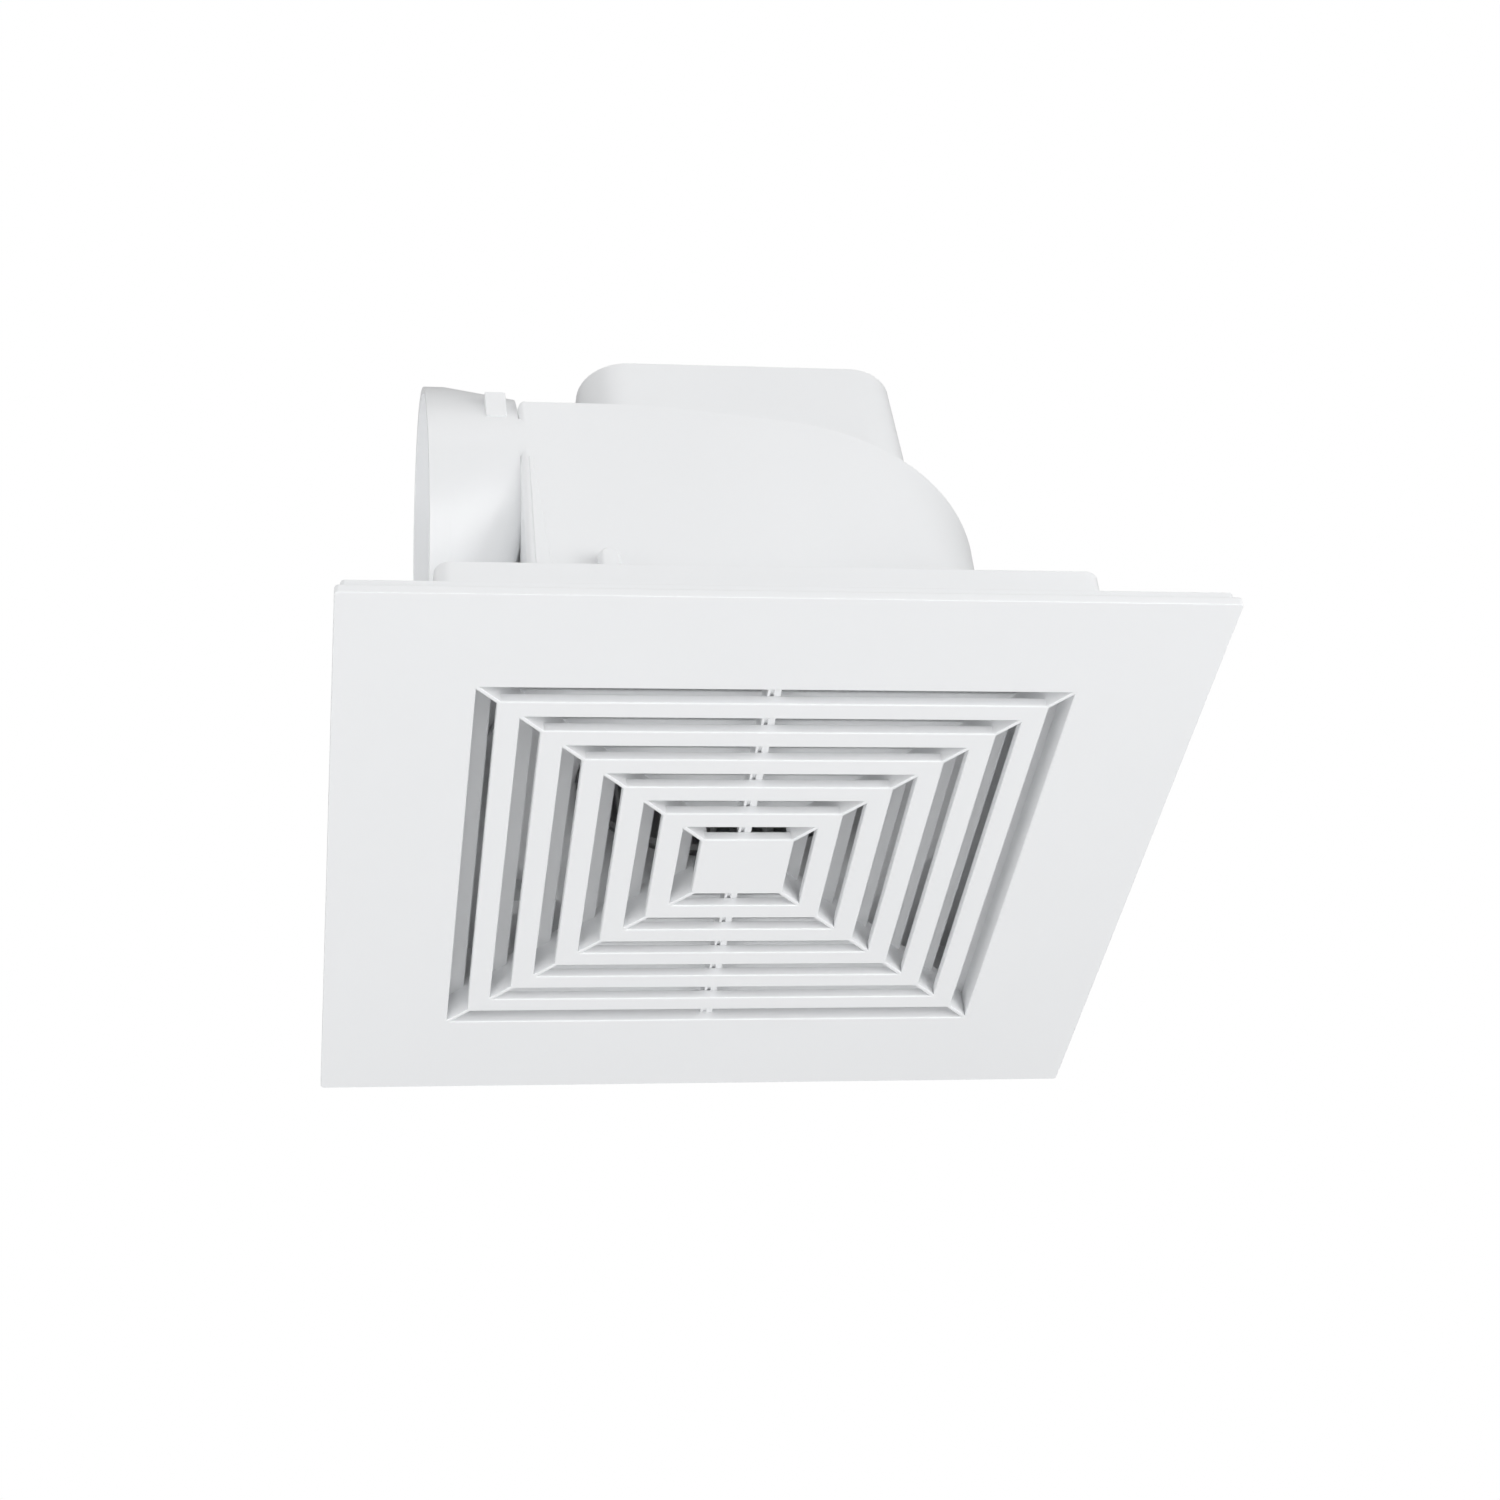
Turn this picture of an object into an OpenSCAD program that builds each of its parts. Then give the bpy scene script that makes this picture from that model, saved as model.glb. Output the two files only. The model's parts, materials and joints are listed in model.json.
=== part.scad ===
// Ceiling extractor fan: square slotted grille, ceiling box, scroll casing with
// centrifugal wheel, round duct spigot with back-draught flap, covered motor.
// Millimetres. Origin at the centre of the grille's lower face, +Z up into the
// ceiling void, the duct leaves towards -X.

/* [Grille panel] */
// Side of the square grille panel
panel_w = 240; // [236:0.5:244]
// Height of the panel's outer rim
panel_t = 3; // [2.8:0.1:3]
// Thickness of the face plate
ring_t = 2.4; // [2:0.1:2.6]
// Depth of the grille rings
ring_h = 3; // [2.8:0.1:3.4]
// Height of the wall round the slotted field
field_wall = 10.2; // [9:0.1:10.5]
// Height of the underside of the baffle strips behind the slots
strip_z = 9; // [8:0.1:9.5]
// Thickness of the baffle strips
strip_t = 1.2; // [1:0.1:1.4]
// Half side of the slotted field
field_h = 82; // [80:0.5:83]
// Distance from one slot to the next
slot_pitch = 12.5; // [12.3:0.1:12.5]
// Width of each slot
slot_w = 6; // [5:0.1:6.3]
// Thickness of the diagonal webs behind the slots
web_t = 1.2; // [0.8:0.1:1.4]
// Height of the diagonal webs above the lower face
web_h = 12; // [8:0.5:14]

/* [Ceiling box] */
// Half side of the ceiling box
box_h = 92.6; // [92:0.2:93]
// Height of the top of the ceiling box
box_top = 35.3; // [35:0.1:35.6]
// Wall thickness of the ceiling box
wall = 2; // [1.8:0.1:2.2]
// Half side of the ceiling flange
flange_h = 118.4; // [117:0.1:118.6]
// Half distance between the ceiling fixing holes
fix_h = 105; // [100:1:108]
// Radius of the ceiling fixing holes
fix_r = 2.25; // [2:0.05:2.6]

/* [Scroll casing] */
// Height of the top of the scroll casing
scroll_top = 102.4; // [102:0.1:103]
// Outer radius of the wide side of the scroll
scroll_r = 82; // [81:0.1:82]
// Outer radius of the narrow side of the scroll
scroll_r2 = 74; // [73.8:0.1:74.2]
// Distance from the shaft to the straight outlet wall
outlet_y = 86.2; // [86:0.1:86.6]
// Distance from the shaft to the outlet end face
outlet_x = 66.8; // [66.6:0.1:67]

/* [Duct spigot] */
// Outer radius of the duct spigot
duct_r = 50; // [49.5:0.1:50]
// Length of the straight collar at the mouth
collar_l = 6; // [5:0.5:7]
// Outer radius of the spigot where it meets the scroll casing
root_r = 33.1; // [33:0.1:33.2]

/* [Wheel and motor] */
// Outer radius of the fan wheel
wheel_r = 58; // [56:0.5:58]
// Number of blades on the fan wheel
blades = 36; // [24:1:40]
// Radius of the motor shaft
shaft_r = 4; // [4:0.01:4]
// Radius of the rotor core
rotor_r = 22; // [20:0.1:22]
// Air gap between rotor and stator
air_gap = 0.35; // [0.3:0.05:0.6]
// Height of the top of the motor cover
cover_top = 154; // [154:0.1:155]

/* [Hidden] */
$fn = 64;

flange_z = panel_t + 0.3;
flange_t = 2.4;
roof_z = box_top - wall;
duct_c = [-35.6, 87.1];
mouth_x = -box_h;
root_x = -outlet_x - 0.1;
root_c = [-53.1, 89];
neck_x = -71.4;
neck_r = 46.5;
hinge_x = -72.4;
hinge_z = 109;
flap_r = 43.5;
cover_c = [6.5, -2.4];
stud = 31;
spring_x = 87;
spring_y = 16;
leg_top = 28;
box_ears = [[62, -62], [8, 81], [-62, 56], [-73.5, -66]];
cover_ears = [[-25, -58.2], [38, -58.2], [-25, 53.4], [12, 53.4]];
adaptor_tabs = [[-60, -56], [-60, -30]];
mount_p = [[-37.5, -37], [-37.5, 37], [43.5, -37], [43.5, 37]];
ring_screw_a = [45, 135, 225, 315];
term_c = [74.8, 74.8];
term_s = 31.4;
term_top = 55;

// Route of the sheathed lead from the motor cover to the terminal box
lead_pts = [[38, 43.6, 108], [38, 46, 108], [38, 50, 108], [38, 52.5, 108], [39.4, 56, 107.8], [42.6, 59.4, 107.2],
  [47, 62.3, 106], [52, 64.9, 103.6], [57, 67.2, 99.5], [61.5, 69.6, 94], [65, 71.4, 87.5],
  [67.6, 72.8, 80.5], [69.2, 73.6, 73.5], [70, 74, 66.5], [70, 74, 60], [70, 74, 53], [70, 74, 48.5]];

white = [0.93, 0.94, 0.94];

// ---------- shared shapes ----------
module rrect(sx, sy, r) {
  square([sx - 2 * r, sy], center = true);
  square([sx, sy - 2 * r], center = true);
  for (i = [-1, 1], j = [-1, 1]) translate([i * (sx / 2 - r), j * (sy / 2 - r)]) circle(r);
}
module plate(sx, sy, r, z0, z1) translate([0, 0, z0]) linear_extrude(z1 - z0) rrect(sx, sy, r);
module block(x0, x1, y0, y1, z0, z1) translate([x0, y0, z0]) cube([x1 - x0, y1 - y0, z1 - z0]);
module post(p, r, z0, z1) translate([p[0], p[1], z0]) cylinder(h = z1 - z0, r = r);
module ring(p, ro, ri, z0, z1) difference() {
  post(p, ro, z0, z1);
  post(p, ri, z0 - 1, z1 + 1);
}
// cylinder along X from x0 to x1 around the duct axis
module ductcyl(r1, r2, x0, x1) translate([x0, duct_c[0], duct_c[1]]) rotate([0, 90, 0])
  cylinder(h = x1 - x0, r1 = r1, r2 = r2);
// cylinder along Y around the damper hinge
module hingecyl(r, y0, y1) translate([hinge_x, y0, hinge_z]) rotate([-90, 0, 0]) cylinder(h = y1 - y0, r = r);
// pan-head screw standing on zt, shank down to zb, cross slot in the head
module screw(p, zt, zb, rh = 3, hh = 2.2, rs = 1.5) difference() {
  union() {
    post(p, rh, zt, zt + hh);
    post(p, rs, zb, zt + 0.01);
  }
  for (a = [0, 90]) translate([p[0], p[1], zt + hh]) rotate(a) cube([3.4, 0.7, 2], center = true);
}
// the same screw hanging from zt, shank up to ze
module screw_up(p, zt, ze, rh = 2.6, hh = 2, rs = 1.4) difference() {
  union() {
    post(p, rh, zt - hh, zt);
    post(p, rs, zt - 0.01, ze);
  }
  for (a = [0, 90]) translate([p[0], p[1], zt - hh]) rotate(a) cube([3, 0.7, 1.8], center = true);
}

// ---------- grille panel, pulled down on its wire springs ----------
module grille_panel() color(white) {
  difference() {
    union() {
      plate(panel_w, panel_w, 1.2, 0, ring_t);
      difference() {
        plate(panel_w, panel_w, 1.2, 0.5, panel_t);
        plate(panel_w - 5, panel_w - 5, 1, ring_t - 1.5, panel_t + 1);
      }
      plate(2 * field_h + 3, 2 * field_h + 3, 0.6, 0.5, ring_h);
      // wall round the slotted field
      difference() {
        plate(2 * field_h + 3, 2 * field_h + 3, 0.6, 0.5, field_wall);
        block(-field_h, field_h, -field_h, field_h, ring_h - 1, field_wall + 1);
      }
    }
    for (k = [0:5]) let (a = field_h - k * slot_pitch, b = a - slot_w) difference() {
      block(-a, a, -a, a, -1, 4);
      block(-b, b, -b, b, -2, 5);
    }
  }
  // baffle strips, each one staggered behind its slot
  for (k = [0:5]) let (a = field_h - k * slot_pitch + 0.6, b = a - 5.9) difference() {
    block(-a, a, -a, a, strip_z, strip_z + strip_t);
    block(-b, b, -b, b, strip_z - 1, strip_z + strip_t + 1);
  }
  // diagonal webs from the centre plate to the corners of the field
  for (a = [45, 135]) rotate(a) for (s = [-1, 1])
    block(s > 0 ? 17 : -field_h * sqrt(2) - 2, s > 0 ? field_h * sqrt(2) + 2 : -17, -web_t / 2, web_t / 2, 0.05, web_h);
  // paired ribs across the middle of the near and far sides
  for (s = [-1, 1]) {
    block(-0.9, 1.1, s > 0 ? 12.5 : -field_h - 1.2, s > 0 ? field_h + 1.2 : -12.5, ring_h - 0.2, strip_z + strip_t + 0.8);
    block(-2.7, -1.9, s > 0 ? 12.5 : -field_h - 1.2, s > 0 ? field_h + 1.2 : -12.5, ring_h - 0.2, strip_z + 0.4);
  }
  // lugs that hold the wire springs
  for (s = [-1, 1], t = [-1, 1]) difference() {
    block(s * spring_x - 2.2, s * spring_x + 2.2, t * 8 - 1.5, t * 8 + 1.5, ring_t - 0.2, 6);
    translate([s * spring_x, t * 8 - 3, 4.1]) rotate([-90, 0, 0]) cylinder(h = 6, r = 0.88);
  }
  // tabs that centre the panel in the box mouth
  for (a = [0, 90, 180, 270]) rotate(a) for (t = [-1, 1])
    block(88.4, 89.8, t * 62 - 8, t * 62 + 8, ring_t - 0.2, 9);
}

// wire spring: bottom bar through the lugs, two legs, hooked ends
module panel_springs() color([0.75, 0.76, 0.78]) for (s = [-1, 1]) translate([s * spring_x, 0, 0]) {
  translate([0, -spring_y, 4.1]) rotate([-90, 0, 0]) cylinder(h = 2 * spring_y, r = 0.8);
  for (t = [-1, 1]) {
    translate([0, t * spring_y, 4.1]) sphere(r = 0.8);
    translate([0, t * spring_y, 4.1]) cylinder(h = leg_top - 4.1, r = 0.8);
    translate([0, t * spring_y, leg_top]) sphere(r = 0.8);
    translate([0, t * spring_y, leg_top]) rotate([-t * 90, 0, 0]) cylinder(h = 4.5, r = 0.8);
    translate([0, t * (spring_y + 4.5), leg_top]) sphere(r = 0.8);
  }
}

// ---------- ceiling box ----------
module housing_box() color(white) difference() {
  union() {
    plate(2 * flange_h, 2 * flange_h, 1.2, flange_z, flange_z + flange_t);
    plate(2 * box_h, 2 * box_h, 4.5, flange_z, box_top);
    // locating boss on the ledge beside the scroll casing, flat towards the casing and towards the ledge's edge
    intersection() {
      union() {
        post([-44.7, -89.3], 3.3, box_top - 1, box_top + 4.3);
        translate([-44.7, -89.3, box_top + 4.3]) sphere(r = 3.3);
      }
      block(-50, -40, -92, -86.5, box_top - 1, box_top + 9);
    }
  }
  difference() {
    plate(2 * (box_h - wall), 2 * (box_h - wall), 2.5, flange_z - 1, roof_z);
    for (p = box_ears) post(p, 3.6, 25, roof_z + 1);
  }
  post([0, 0], 64, roof_z - 1, box_top + 1);
  for (i = [-1, 1], j = [-1, 1]) post([i * fix_h, j * fix_h], fix_r, flange_z - 1, flange_z + flange_t + 1);
  for (p = box_ears) post(p, 1.55, 26, box_top + 1);
  for (a = ring_screw_a) post([73.9 * cos(a), 73.9 * sin(a)], 1.45, roof_z - 1, box_top + 1);
  for (s = [-1, 1], t = [-1, 1]) translate([s * box_h, t * 13, 13]) rotate([0, -s * 90, 0])
    translate([0, 0, -1]) cylinder(h = wall + 2, r = 1.3);
  for (s = [-1, 1]) post(term_c + [s * 9.8, 0], 1.45, roof_z - 1, box_top + 1);
}

// steel brackets inside the box that the spring legs hook over
module spring_brackets() color([0.72, 0.73, 0.75]) for (s = [-1, 1]) difference() {
  union() {
    block(min(s * 84.3, s * (box_h - wall)), max(s * 84.3, s * (box_h - wall)), -23, 23, 6.4, 7.4);
    block(min(s * (box_h - wall - 1), s * (box_h - wall)), max(s * (box_h - wall - 1), s * (box_h - wall)), -23, 23, 6.4, 17);
  }
  for (t = [-1, 1]) {
    block(s * spring_x - 1.4, s * spring_x + 1.4, t * spring_y - 1.5, t * spring_y + 1.5, 5, 9);
    translate([s * (box_h - wall), t * 13, 13]) rotate([0, -s * 90, 0]) translate([0, 0, -1]) cylinder(h = 3, r = 1.3);
  }
}
module bracket_rivets() color([0.7, 0.7, 0.72]) for (s = [-1, 1], t = [-1, 1])
  translate([s * (box_h - wall - 1), t * 13, 13]) rotate([0, s * 90, 0]) {
    translate([0, 0, -0.9]) cylinder(h = 0.9, r = 2.4);
    translate([0, 0, -0.5]) cylinder(h = wall + 1.3, r = 1.28);
  }

// dished ring with the bell-mouth that leads air into the wheel
module inlet_ring() color([0.9, 0.91, 0.91]) difference() {
  rotate_extrude() difference() {
    union() {
      translate([69, roof_z - 1.8]) square([8, 1.8]);
      translate([69, 24]) square([1.8, roof_z - 24]);
      translate([56, 24]) square([14, 1.7]);
      intersection() {
        translate([56, 33]) circle(r = 9);
        translate([40, 20]) square([16, 13]);
      }
      translate([47, 33]) square([1.6, 5]);
    }
    translate([56, 33]) circle(r = 7.4);
    translate([48.6, 33]) square([7.4, 6]);
  }
  for (a = ring_screw_a) post([73.9 * cos(a), 73.9 * sin(a)], 1.45, 30, roof_z + 1);
}
module inlet_ring_screws() color([0.75, 0.75, 0.77])
  for (a = ring_screw_a) screw_up([73.9 * cos(a), 73.9 * sin(a)], roof_z - 1.8, box_top - 0.1);

// ---------- scroll casing ----------
function arc(c, r, a0, a1, n) = [for (i = [0:n]) c + r * [cos(a0 + (a1 - a0) * i / n), sin(a0 + (a1 - a0) * i / n)]];
// angle at which the line from the outlet wall's end meets a circle of radius r tangentially
function tangent_a(px, py, r) = atan2(py, px) + acos(r / norm([px, py]));
// outline of the scroll, moved inwards by d, with outlet corner radius cr
module scroll_2d(d, cr) polygon(concat(
  arc([-outlet_x + d + cr, -outlet_y + d + cr], cr, 180, 270, 8), [[-25, -outlet_y + d]],
  arc([0, 0], scroll_r - d, tangent_a(-25, -outlet_y + d, scroll_r - d), 0, 36),
  [for (p = arc([scroll_r - scroll_r2, 0], scroll_r2 - d, 4, 180, 60)) p],
  [[-outlet_x + d, -5]]));
module ear(p, q, z0, z1) {
  post(p, 4.6, z0, z1);
  u = (q - p) / norm(q - p);
  translate([p[0], p[1], z0]) rotate(atan2(u[1], u[0])) translate([0, -4.3, 0]) cube([norm(q - p), 8.6, z1 - z0]);
}
module volute_casing() color(white) difference() {
  union() {
    difference() {
      translate([0, 0, box_top]) linear_extrude(scroll_top - box_top) scroll_2d(0, 2);
      translate([0, 0, box_top - 1]) linear_extrude(scroll_top - 2 - box_top + 1) scroll_2d(2, 0.6);
    }
    // tongue between the wheel and the outlet
    difference() {
      block(-outlet_x + 1, -56, -14, 6, box_top, scroll_top - 1);
      post([0, 0], 62.2, box_top - 1, scroll_top);
    }
    // raised margin beside the outlet, with a slanting edge
    translate([0, -outlet_y + 0.5, 0]) rotate([90, 0, 0]) linear_extrude(0.9)
      polygon([[-64.5, 36], [-59.9, 36], [-60.2, 41.5], [-62, 62], [-63.6, 81], [-64.5, 81]]);
    for (p = cover_ears) post(p, 3.2, 96.6, scroll_top - 1);
    for (p = adaptor_tabs) post(p, 3.2, 96.6, scroll_top - 1);
    difference() {
      union() {
        ear(box_ears[0], [51, -50], box_top, box_top + 2.5);
        ear(box_ears[1], [8, 73], box_top, box_top + 2.5);
        ear(box_ears[2], [-46, 38], box_top, box_top + 2.5);
        ear(box_ears[3], [-66, -66], box_top, box_top + 2.5);
      }
      translate([0, 0, box_top - 1]) linear_extrude(5) scroll_2d(1, 1);
    }
  }
  outlet_window(-outlet_x - 1, -outlet_x + 4);
  // rounded edge between the roof and the outlet wall
  difference() {
    block(-outlet_x - 1, -outlet_x + 2.2, -outlet_y - 1, 5.5, scroll_top - 2.2, scroll_top + 1);
    translate([-outlet_x + 2.2, 0, scroll_top - 2.2]) rotate([90, 0, 0]) cylinder(h = 300, r = 2.2, center = true);
  }
  post([0, 0], 18, scroll_top - 3, scroll_top + 1);
  for (p = box_ears) post(p, 1.6, box_top - 1, box_top + 4);
  for (p = cover_ears) post(p, 1.55, 97.5, scroll_top + 1);
  for (p = adaptor_tabs) post(p, 1.55, 97.5, scroll_top + 1);
  for (p = mount_p) post(p, 1.55, scroll_top - 3, scroll_top + 1);
}
module volute_screws() color([0.75, 0.75, 0.77])
  for (p = box_ears) screw(p, box_top + 2.5, 27);

// ---------- duct spigot and back-draught flap ----------
// disc or cylinder along X around the root of the spigot
module rootcyl(r, x0, x1) translate([x0, root_c[0], root_c[1]]) rotate([0, 90, 0]) cylinder(h = x1 - x0, r = r);
// passage from the scroll casing into the spigot
module outlet_window(x0, x1) intersection() {
  ductcyl(41, 41, x0, x1);
  rootcyl(root_r - 2, x0 - 1, x1 + 1);
  block(x0 - 2, x1 + 2, -outlet_y + 2, -14, box_top + 2, scroll_top - 2);
}
module duct_adaptor() color(white) difference() {
  union() {
    difference() {
      union() {
        ductcyl(duct_r, duct_r, mouth_x, mouth_x + collar_l);
        // drawn in to the smaller root, off centre so that the near side stays straight
        hull() {
          ductcyl(duct_r - 0.05, duct_r - 0.05, mouth_x + collar_l - 0.1, mouth_x + collar_l, $fn = 96);
          ductcyl(neck_r, neck_r, neck_x - 0.02, neck_x, $fn = 96);
          rootcyl(root_r, root_x - 0.01, root_x, $fn = 96);
        }
        // square lug on the near shoulder
        block(hinge_x - 3.45, hinge_x + 2.3, -84.95, -76, 97.4, 106.6);
        // hood over the far end of the hinge
        hingecyl(4.9, -30, 4.2);
      }
      ductcyl(duct_r - 1.8, duct_r - 1.8, mouth_x - 1, mouth_x + collar_l);
      ductcyl(duct_r - 1.8, neck_r - 1.5, mouth_x + collar_l - 0.01, neck_x + 0.1);
      // room for the knuckle of the flap
      hingecyl(3, -73.5, 2.3);
    }
    // hinge bosses inside
    hingecyl(3, -77.5, duct_c[0] - 37.2);
    hingecyl(3, duct_c[0] + 37.2, 6.6);
    // tabs screwed to the roof of the scroll casing
    for (p = adaptor_tabs) {
      block(root_x - 1.6, p[0], p[1] - 5, p[1] + 5, scroll_top, scroll_top + 2);
      post(p, 5, scroll_top, scroll_top + 2);
    }
  }
  outlet_window(neck_x - 1, root_x + 1);
  hingecyl(1.3, -77.1, 8);
  for (p = adaptor_tabs) post(p, 1.6, scroll_top - 1, scroll_top + 4);
}
module adaptor_screws() color([0.75, 0.75, 0.77])
  for (p = adaptor_tabs) screw(p, scroll_top + 2, 98);

module damper_flap() color([0.88, 0.89, 0.9]) difference() {
  union() {
    intersection() {
      ductcyl(flap_r, flap_r, hinge_x - 0.8, hinge_x + 0.8);
      block(-80, -60, -100, 40, 20, hinge_z);
    }
    // stiffening rim and rib on the outlet side
    intersection() {
      difference() {
        ductcyl(flap_r, flap_r, hinge_x - 2, hinge_x - 0.7);
        ductcyl(flap_r - 1.5, flap_r - 1.5, hinge_x - 3, hinge_x);
      }
      block(-80, -60, -100, 40, 20, hinge_z - 3);
    }
    block(hinge_x - 1.9, hinge_x - 0.7, duct_c[0] - 0.7, duct_c[0] + 0.7, 46, hinge_z - 1);
    hingecyl(2.6, duct_c[0] - 36.9, duct_c[0] + 36.9);
  }
  hingecyl(1.33, duct_c[0] - 50, duct_c[0] + 50);
  // clearance round the fixed hinge bosses
  hingecyl(3.6, duct_c[0] - 50, duct_c[0] - 36.9);
  hingecyl(3.6, duct_c[0] + 36.9, duct_c[0] + 50);
}
module damper_pin() color([0.72, 0.73, 0.75]) hingecyl(1.25, -76.9, 7.2);

// ---------- fan wheel ----------
// one forward-curved blade, drawn as an arc band between two radii
module blade_2d() intersection() {
  translate([wheel_r - 6.2, 4.1]) difference() {
    circle(r = 7.2);
    circle(r = 6.2);
  }
  translate([wheel_r - 10.5, -3.5]) square([10, 7]);
}
module fan_wheel() color([0.86, 0.87, 0.88]) difference() {
  union() {
    ring([0, 0], wheel_r, wheel_r - 9, 41.5, 44);
    ring([0, 0], wheel_r, wheel_r - 1.2, 44, 47);
    post([0, 0], wheel_r, 93, 95);
    translate([0, 0, 43.5]) linear_extrude(50) for (i = [0:blades - 1]) rotate(i * 360 / blades) blade_2d();
    post([0, 0], 9.5, 80, 94);
    for (a = [0:60:300]) rotate(a) block(8, 30, -0.8, 0.8, 89, 94);
  }
  post([0, 0], shaft_r + 0.01, 79, 96);
}
// lock nut and washer under the wheel
module wheel_hub_nut() color([0.8, 0.78, 0.6]) difference() {
  union() {
    translate([0, 0, 73.5]) cylinder(h = 5.5, r = 7.5, $fn = 6);
    post([0, 0], 8, 79, 80);
  }
  post([0, 0], shaft_r + 0.01, 72, 81);
}

// ---------- motor ----------
module motor_shaft() color([0.78, 0.79, 0.8]) {
  post([0, 0], shaft_r, 71, 150.6);
  translate([0, 0, 150.6]) cylinder(h = 0.6, r1 = shaft_r, r2 = shaft_r - 0.6);
}
module rotor_core() color([0.5, 0.5, 0.52]) ring([0, 0], rotor_r, shaft_r + 0.01, 114, 134);
module rotor_end_rings() color([0.82, 0.83, 0.84]) {
  ring([0, 0], rotor_r - 1, 12, 110.5, 114);
  ring([0, 0], rotor_r - 1, 12, 134, 137.5);
}
module stator_core() color([0.45, 0.46, 0.48]) difference() {
  plate(78, 78, 7, 114, 134);
  post([0, 0], rotor_r + air_gap, 113, 135);
  for (i = [0:11]) rotate(i * 30 + 15) {
    post([29.8, 0], 4, 113, 135);
    block(21, 27, -1, 1, 113, 135);
  }
  for (i = [-1, 1], j = [-1, 1]) post([i * stud, j * stud], 2.1, 113, 135);
}
module stator_windings() color([0.72, 0.42, 0.2]) {
  for (i = [0:11]) rotate(i * 30 + 15) post([29.8, 0], 3.6, 112.9, 135.1);
  translate([0, 0, 110.7]) rotate_extrude() translate([29.8, 0]) scale([1, 1]) intersection() {
    circle(r = 5.4);
    translate([-6, -2.6]) square([12, 5.6]);
  }
  translate([0, 0, 137.3]) rotate_extrude() translate([29.8, 0]) intersection() {
    circle(r = 5.4);
    translate([-6, -3]) square([12, 5.6]);
  }
}
// lower end shield: the plate that carries the whole motor
module lower_end_shield() color([0.7, 0.71, 0.73]) difference() {
  union() {
    translate([3, 0, 0]) plate(91, 86, 8, 104.4, 106);
    post([0, 0], 13, 97.6, 106);
  }
  post([0, 0], 11.02, 99, 107);
  post([0, 0], 7, 97, 100);
  for (i = [-1, 1], j = [-1, 1]) post([i * stud, j * stud], 1.95, 103, 107);
  for (p = mount_p) post(p, 1.6, 103, 107);
}
module upper_end_shield() color([0.7, 0.71, 0.73]) difference() {
  union() {
    plate(76, 76, 9, 142, 143.6);
    post([0, 0], 12.8, 142, 151);
  }
  post([0, 0], 11.02, 143.6, 152);
  post([0, 0], 7, 141, 144);
  for (i = [-1, 1], j = [-1, 1]) post([i * stud, j * stud], 2.1, 141, 145);
  for (a = [0:90:270]) rotate(a) post([26, 0], 6, 141, 145);
}
module bearing(z0) {
  ring([0, 0], 11, 8.8, z0, z0 + 7);
  ring([0, 0], 6.2, shaft_r + 0.03, z0, z0 + 7);
  for (i = [0:6]) rotate(i * 360 / 7) translate([7.5, 0, z0 + 3.5]) sphere(r = 1.35);
}
module lower_bearing() color([0.8, 0.81, 0.83]) bearing(99);
module upper_bearing() color([0.8, 0.81, 0.83]) bearing(143.6);
module motor_spacers() color([0.7, 0.71, 0.73]) for (i = [-1, 1], j = [-1, 1]) {
  ring([i * stud, j * stud], 3.6, 2.1, 106, 114);
  ring([i * stud, j * stud], 3.6, 2.1, 134, 142);
}
module motor_bolts() color([0.75, 0.75, 0.77]) for (i = [-1, 1], j = [-1, 1]) {
  translate([i * stud, j * stud, 143.6]) cylinder(h = 2.8, r = 4, $fn = 6);
  post([i * stud, j * stud], 1.9, 104.6, 143.7);
}
module rubber_mounts() color([0.15, 0.15, 0.16]) for (p = mount_p) ring(p, 4.4, 1.6, scroll_top, 104.4);
module mount_screws() color([0.75, 0.75, 0.77]) for (p = mount_p) screw(p, 106, 100.6);
module run_capacitor() color([0.25, 0.27, 0.3]) {
  block(41.6, 53.2, -18, 18, 106.4, 128);
  for (s = [-1, 1]) post([47.4, s * 7], 0.7, 127, 133);
  block(44, 49, -4, 4, 106, 107);
}
// drafted cover over the motor
module cover_shell(d, z0, z1, r) hull() for (e = [[z0, 51.6], [z1 - 0.01, 49.4]])
  translate([cover_c[0], cover_c[1], e[0]]) linear_extrude(0.01)
    for (i = [-1, 1], j = [-1, 1]) translate([i * (e[1] - d - r), j * (e[1] - d - r)]) circle(r, $fn = 48);
module motor_cover() color(white) {
  difference() {
    cover_shell(0, scroll_top, cover_top, 15);
    cover_shell(1.8, scroll_top - 0.02, cover_top - 1.8, 13.2);
    translate([38, 40, 108]) rotate([-90, 0, 0]) cylinder(h = 12, r = 4.6);
  }
  for (p = cover_ears) difference() {
    union() {
      post(p, 4.4, scroll_top, scroll_top + 2.2);
      block(p[0] - 4.4, p[0] + 4.4, p[1] > 0 ? 48.6 : p[1], p[1] > 0 ? p[1] : -53.4, scroll_top, scroll_top + 2.2);
    }
    post(p, 1.6, scroll_top - 1, scroll_top + 4);
  }
}
module cover_screws() color([0.75, 0.75, 0.77]) for (p = cover_ears) screw(p, scroll_top + 2.2, 98);

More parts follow.
